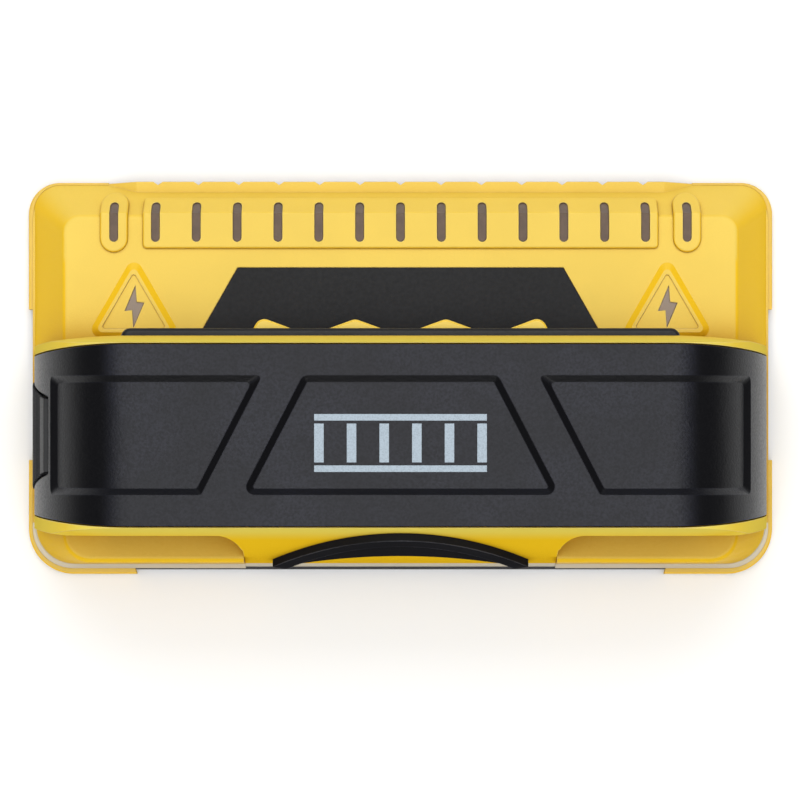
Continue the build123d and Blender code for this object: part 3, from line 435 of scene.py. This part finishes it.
def dress_cad_nodes():
    """Give every CAD node its material."""
    # The shell and handle take painted wall shade, painted crevice shade and edges lightened as part wear,
    # part painted highlight.
    shell_look = dict(grain=0.4 * MM, grain_depth=0.012 * MM, variation=0.02, painted_wall_shade=SHADED_WALL_YELLOW,
                      rim_wear_and_highlight=RIM_WEAR_AND_HIGHLIGHT_YELLOW, painted_crevice_shade=CREVICE_SHADE_YELLOW)
    yellow = moulded("yellow_shell", YELLOW, 0.46, specular=0.1, foot=SHELL_FOOT, **shell_look)
    handle = moulded("yellow_handle", YELLOW, 0.42, specular=0.0, foot=PILLAR_FOOT, crown_lit_cast=CROWN_LIT_LEMON,
                     **shell_look)
    # The finger rest takes the shell yellow made 8% lighter, painted light where its ridges face the key
    # light; it also takes painted wall shade.
    ridge = moulded("yellow_ridges", shade(YELLOW, 1.08), 0.45, grain=0.4 * MM, grain_depth=0.012 * MM,
                    variation=0.02, painted_wall_shade=SHADED_WALL_YELLOW, rim_wear_and_highlight=RIM_WEAR_AND_HIGHLIGHT_YELLOW, specular=0.2)
    # The bumpers take painted wall shade on their steep sides.
    bumper = moulded("bumper_rubber", BUMPER_YELLOW, 0.6, grain=0.5 * MM, grain_depth=0.02 * MM,
                     edge_gain=1.05, variation=0.04, specular=0.35, painted_wall_shade=SHADED_WALL_YELLOW)
    # The cover's recess walls take a darker black: painted shade.
    cover = moulded("cover_plastic", COVER_BLACK, 0.33, grain=0.6 * MM, grain_depth=0.09 * MM, edge_gain=2.2,
                    variation=0.3, specular=0.22, painted_wall_shade=SHADED_COVER_WALL_BLACK, speckle=0.8)
    latch = moulded("latch_plastic", DEEP_BLACK, 0.45, grain=0.4 * MM, grain_depth=0.02 * MM,
                    edge_gain=2.4, variation=0.08, specular=0.3)
    button = moulded("button_rubber", shade(DEEP_BLACK, 1.7), 0.6, grain=0.6 * MM, grain_depth=0.01 * MM,
                     edge_gain=1.8, edge_radius=0.2 * MM, variation=0.08, specular=0.0)
    # The bezel's high edge gain paints a highlight line along its edges.
    bezel = moulded("bezel_plastic", shade(DEEP_BLACK, 2.0), 0.5, grain=0.6 * MM, grain_depth=0.01 * MM,
                    edge_gain=9.0, edge_radius=0.45 * MM, variation=0.08, specular=0.0)
    grip = moulded("grip_rubber", DEEP_BLACK, 0.45, grain=0.6 * MM, grain_depth=0.015 * MM,
                   edge_gain=1.8, variation=0.1, specular=0.3)
    label = moulded("label_film", DEEP_BLACK, 0.45, grain=0.9 * MM, grain_depth=0.008 * MM,
                    edge_gain=1.4, edge_radius=0.15 * MM, variation=0.1, specular=0.18)
    plate = moulded("plate_plastic", PLATE_BLACK, 0.55, grain=0.5 * MM, grain_depth=0.04 * MM,
                    edge_gain=1.8, variation=0.1)
    inner = moulded("inner_plastic", INNER_BLACK, 0.5, grain=0.6 * MM, edge_gain=1.5)
    chip = moulded("chip_epoxy", CHIP_BLACK, 0.45, grain=0.3 * MM, edge_gain=1.6)
    lens = smoked_lens()
    steel = metal("zinc_steel", (0.60, 0.60, 0.61), 0.32)
    spring = metal("nickel_steel", NICKEL, 0.25)
    copper = metal("copper_plate", (0.80, 0.42, 0.24), 0.35, "Y")
    board = circuit_board()
    wrap = battery_wrap()
    outfits = {
        "front_shell": yellow, "handle_shell": handle, "finger_rest": ridge,
        "bumper_top_left": bumper, "bumper_top_right": bumper,
        "bumper_bottom_left": bumper, "bumper_bottom_right": bumper,
        "back_plate": plate, "glide_pads": felt("glide_felt", (0.10, 0.10, 0.105)), "front_label": label,
        "lens_strip": lens, "end_lens_left": lens, "end_lens_right": lens,
        "flash_lens_left": lens, "flash_lens_right": lens, "led_baffle": inner,
        "main_board": board, "sensor_plates": copper,
        "indicator_leds": gloss("lamp_clear", (0.8, 0.8, 0.7)),
        "warning_leds": gloss("lamp_red", (0.6, 0.05, 0.03)),
        "controller_chip": chip, "board_parts": chip, "board_screws": steel, "base_screws": steel,
        "handle_screws": steel, "grip_strip": grip, "cover_hinge_pin": steel, "button_bezel": bezel,
        "switch_body": inner, "switch_plunger": inner, "switch_board": board,
        "switch_leads": gloss("lead_black", LEAD_BLACK), "battery_cradle": inner,
        "battery_1": wrap, "battery_2": wrap, "battery_springs": spring, "battery_contacts": spring,
        "battery_lead_red": gloss("lead_red", LEAD_RED),
        "battery_lead_black": gloss("lead_black_thick", LEAD_BLACK),
        "battery_cover": cover, "cover_latch": latch, "thumb_button": button,
    }
    for name, material in outfits.items():
        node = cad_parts[name]
        for slot in node.material_slots:
            slot.material = material


# ---- pieces ----------------------------------------------------------------------

def bar(mesh, x0, x1, y0, y1, z0, z1):
    """Add a box to a mesh."""
    corners = [mesh.verts.new((x, y, z)) for x in (x0, x1) for y in (y0, y1) for z in (z0, z1)]
    for quad in ((0, 1, 3, 2), (4, 6, 7, 5), (0, 4, 5, 1), (2, 3, 7, 6), (0, 2, 6, 4), (1, 5, 7, 3)):
        mesh.faces.new([corners[i] for i in quad])


def add_piece(name, mesh, material, body):
    """Turn a mesh into a piece that rides on a body."""
    data = bpy.data.meshes.new(name)
    bmesh.ops.recalc_face_normals(mesh, faces=mesh.faces)
    mesh.to_mesh(data)
    mesh.free()
    data.materials.append(material)
    piece = bpy.data.objects.new(name, data)
    bpy.context.scene.collection.objects.link(piece)
    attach(piece, body)


FRONT_Z = 52.0 * MM
RECESS_FLOOR_Z = FRONT_Z - 1.2 * MM
PRINT_THICK = 0.03 * MM
PRINT_HALF = 20.0 * MM
PRINT_TOP = -9.2 * MM
PRINT_BOTTOM = -22.6 * MM
PLATE_WIDTH = 1.5 * MM
STUDS = 6
STUD_WIDTH = 2.2 * MM
STUD_GAP = 0.7 * MM  # between a stud's end and the plate


def make_cover_print():
    """A generic print on the cover: a stud wall between its two plates."""
    mesh = bmesh.new()
    z0, z1 = RECESS_FLOOR_Z, RECESS_FLOOR_Z + PRINT_THICK
    bar(mesh, -PRINT_HALF, PRINT_HALF, PRINT_TOP - PLATE_WIDTH, PRINT_TOP, z0, z1)
    bar(mesh, -PRINT_HALF, PRINT_HALF, PRINT_BOTTOM, PRINT_BOTTOM + PLATE_WIDTH, z0, z1)
    stud_low = PRINT_BOTTOM + PLATE_WIDTH + STUD_GAP
    stud_high = PRINT_TOP - PLATE_WIDTH - STUD_GAP
    for i in range(STUDS):
        x = -PRINT_HALF + (2 * PRINT_HALF - STUD_WIDTH) * i / (STUDS - 1)
        bar(mesh, x, x + STUD_WIDTH, stud_low, stud_high, z0, z1)
    add_piece("cover_print", mesh, print_ink(), "cover")


BAY_HALF = 28.4 * MM
SPRING_LENGTH = 6.0 * MM
SPRING_WIRE = 0.35 * MM
SPRING_TURNS = 5
STEPS_PER_TURN = 24
COIL_WIDE = 3.4 * MM
COIL_NARROW = 2.0 * MM
COIL_CLOSED = 0.1  # share of the coil that lies flat at each end


def coil_point(step, y, turn):
    """A point of a tapered coil from the wall of the bay to the flat end of its cell."""
    share = step / (SPRING_TURNS * STEPS_PER_TURN)
    radius = COIL_WIDE + (COIL_NARROW - COIL_WIDE) * share
    angle = 2 * math.pi * step / STEPS_PER_TURN
    rise = min(1.0, max(0.0, (share - COIL_CLOSED) / (1 - 2 * COIL_CLOSED)))
    along = SPRING_WIRE + (SPRING_LENGTH - 2 * SPRING_WIRE) * rise
    return (turn * (along - BAY_HALF), y + radius * math.cos(angle), CELL_Z + radius * math.sin(angle))


def make_battery_springs():
    """A tapered wire coil at each cell's flat end, with half a turn lying flat at both ends."""
    data = bpy.data.curves.new("battery_coils", "CURVE")
    data.dimensions = "3D"
    data.bevel_depth = SPRING_WIRE
    data.bevel_resolution = 2
    data.use_fill_caps = True
    for side, turn in ((1, 1), (-1, -1)):
        spline = data.splines.new("POLY")
        steps = SPRING_TURNS * STEPS_PER_TURN + 1
        spline.points.add(steps - 1)
        y = CELL_MIDDLE_Y + side * CELL_SPACING / 2
        for step in range(steps):
            spline.points[step].co = (*coil_point(step, y, turn), 1.0)
    data.materials.append(metal("spring_wire", NICKEL, 0.25))
    coils = bpy.data.objects.new("battery_coils", data)
    bpy.context.scene.collection.objects.link(coils)
    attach(coils, "base")
    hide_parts("battery_springs")


# ---- floor and light -------------------------------------------------------------

FLOOR_RADIUS = 3.0
# Painted pool of light: the floor is pale near the scanner and darker further out.
FLOOR_NEAR = (0.93, 0.93, 0.93)
FLOOR_FAR = (0.42, 0.42, 0.42)
FLOOR_FADE = (0.14, 0.5)  # distances from the middle between which it darkens
DOME_RISE = (0.76, 0.97)  # heights in the sky between which the dome brightens
DOME_STRENGTH = (0.16, 2.75)
DOME_WHITE = (0.985, 0.99, 1.0, 1.0)
LIGHT_AIM = (0.0, 0.0, 0.02)
LIGHT_SIZE = (1.2, 0.5)
KEY_WATTS = 6.5
FILL_WATTS = 4.3


def make_floor():
    """A plain pale floor with a painted pool of light: it darkens away from the scanner."""
    mesh = bmesh.new()
    bmesh.ops.create_circle(mesh, cap_ends=True, segments=96, radius=FLOOR_RADIUS)
    data = bpy.data.meshes.new("floor")
    mesh.to_mesh(data)
    mesh.free()
    floor = bpy.data.objects.new("floor", data)
    bpy.context.scene.collection.objects.link(floor)
    material, tree, shader = new_material("floor_card", (0.9, 0.9, 0.9), 0.9, 0.1)
    distance = tree.nodes.new("ShaderNodeVectorMath")
    distance.operation = "LENGTH"
    tree.links.new(place(tree), distance.inputs[0])
    fade = spread(tree, distance.outputs["Value"], *FLOOR_FADE)
    tree.links.new(blend_colour(tree, fade, FLOOR_NEAR, FLOOR_FAR), shader.inputs["Base Color"])
    data.materials.append(material)


def make_world():
    """A soft studio dome: bright overhead, dim at the horizon."""
    world = bpy.data.worlds.new("studio")
    bpy.context.scene.world = world
    world.use_nodes = True
    tree = world.node_tree
    background = tree.nodes["Background"]
    direction = tree.nodes.new("ShaderNodeTexCoord").outputs["Generated"]
    up = component(tree, direction, "Z")
    glow = spread(tree, up, *DOME_RISE, *DOME_STRENGTH)
    tree.links.new(glow, background.inputs["Strength"])
    background.inputs["Color"].default_value = DOME_WHITE


def area_light(name, place_at, aim, size, power):
    """A soft rectangular light aimed at a point."""
    data = bpy.data.lights.new(name, "AREA")
    data.shape = "RECTANGLE"
    data.size, data.size_y = size
    data.energy = power
    light = bpy.data.objects.new(name, data)
    light.location = place_at
    light.rotation_mode = "QUATERNION"
    light.rotation_quaternion = (Vector(aim) - Vector(place_at)).to_track_quat("-Z", "Y")
    bpy.context.scene.collection.objects.link(light)


def make_lights():
    """A long soft light above the slots' side, and a weaker one on the button's side."""
    area_light("key", (0.0, 0.75, 0.95), LIGHT_AIM, LIGHT_SIZE, KEY_WATTS)
    area_light("fill", (0.0, -0.95, 0.75), LIGHT_AIM, LIGHT_SIZE, FILL_WATTS)


make_camera()
make_floor()
make_world()
make_lights()
dress_cad_nodes()
make_cover_print()
make_battery_springs()

bpy.context.scene.view_settings.view_transform = "Standard"
